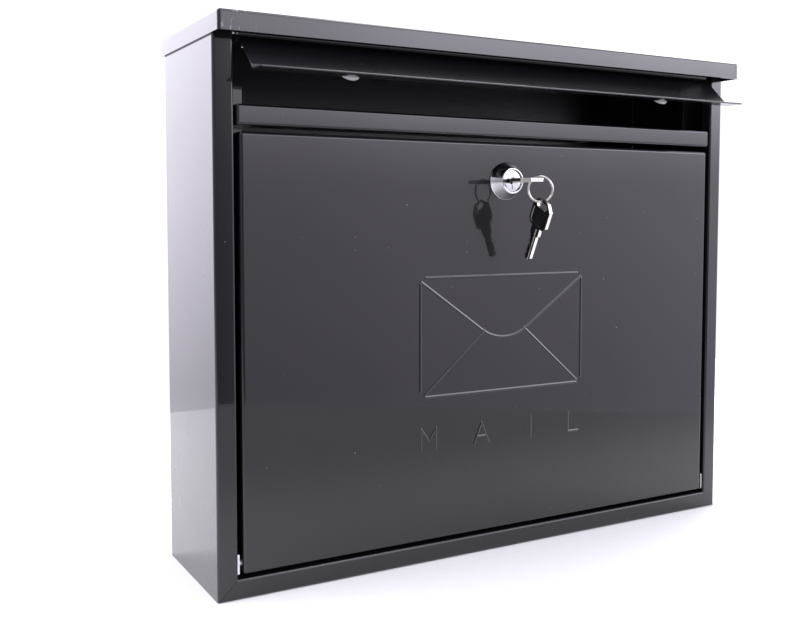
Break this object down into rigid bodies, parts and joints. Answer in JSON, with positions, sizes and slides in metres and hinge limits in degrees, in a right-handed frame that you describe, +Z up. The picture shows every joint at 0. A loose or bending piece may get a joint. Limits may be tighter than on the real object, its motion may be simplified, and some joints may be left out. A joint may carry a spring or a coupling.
{
  "type": "wall mounted mailbox",
  "caption": "Flat steel wall mailbox with a hooded letter slot, a hinged letter flap, a bottom hinged door with a raised envelope, a cam lock and keys on a ring.",
  "frame": {"origin": "centre of the four wall holes, on the back face of the box", "axes": "+X along the width to the right seen from the front, +Y into the wall, +Z up; the door faces -Y"},
  "size_m": [0.3624, 0.1302, 0.306],
  "materials": {
    "black_paint": "gloss powder coat",
    "chrome": "polished",
    "zinc": "bright zinc plate",
    "clear_plastic": "clear soft plastic",
    "dark_nickel": "dark nickel plate",
    "key_steel": "nickel plate"
  },
  "bodies": {
    "box": {"body_wrap": "black_paint", "base_pan": "black_paint", "hood": "black_paint", "slot_rail": "black_paint", "side_bracket_left": "black_paint", "side_bracket_right": "black_paint", "door_hinge_ear_left": "zinc", "door_hinge_ear_right": "zinc", "door_hinge_pin_left": "zinc", "door_hinge_pin_right": "zinc", "flap_hinge_rod": "zinc"},
    "flap": {"letter_flap": "black_paint", "flap_buffer_left": "clear_plastic", "flap_buffer_right": "clear_plastic"},
    "door": {"door_panel": "black_paint", "lock_housing": "chrome", "lock_nut": "zinc"},
    "plug": {"lock_plug": "chrome", "lock_cam": "zinc", "cam_screw": "zinc"},
    "key": {"lock_key": "key_steel"},
    "ring": {"key_ring": "key_steel"},
    "spare": {"spare_key": "dark_nickel"}
  },
  "joints": [
    {"name": "flap_hinge", "type": "hinge", "parent": "box", "child": "flap", "pos_m": [0, -0.0865, 0.1445], "axis": [1, 0, 0], "range_deg": [-30, 47]},
    {"name": "door_hinge", "type": "hinge", "parent": "box", "child": "door", "pos_m": [0, -0.085, -0.1344], "axis": [1, 0, 0], "range_deg": [0, 100]},
    {"name": "lock_turn", "type": "hinge", "parent": "door", "child": "plug", "pos_m": [0, -0.09, 0.071], "axis": [0, 1, 0], "range_deg": [0, 90]},
    {"name": "key_slide", "type": "slide", "parent": "plug", "child": "key", "axis": [0, -1, 0], "range_m": [0, 0.008]},
    {"name": "ring_swing", "type": "hinge", "parent": "key", "child": "ring", "pos_m": [-0.001, -0.1185, 0.071], "axis": [0.9511, -0.309, 0], "range_deg": [-14, 14]},
    {"name": "spare_key_swing", "type": "hinge", "parent": "ring", "child": "spare", "pos_m": [0.00379, -0.12006, 0.0583], "axis": [0.9511, -0.309, 0], "range_deg": [-25, 25]}
  ]
}
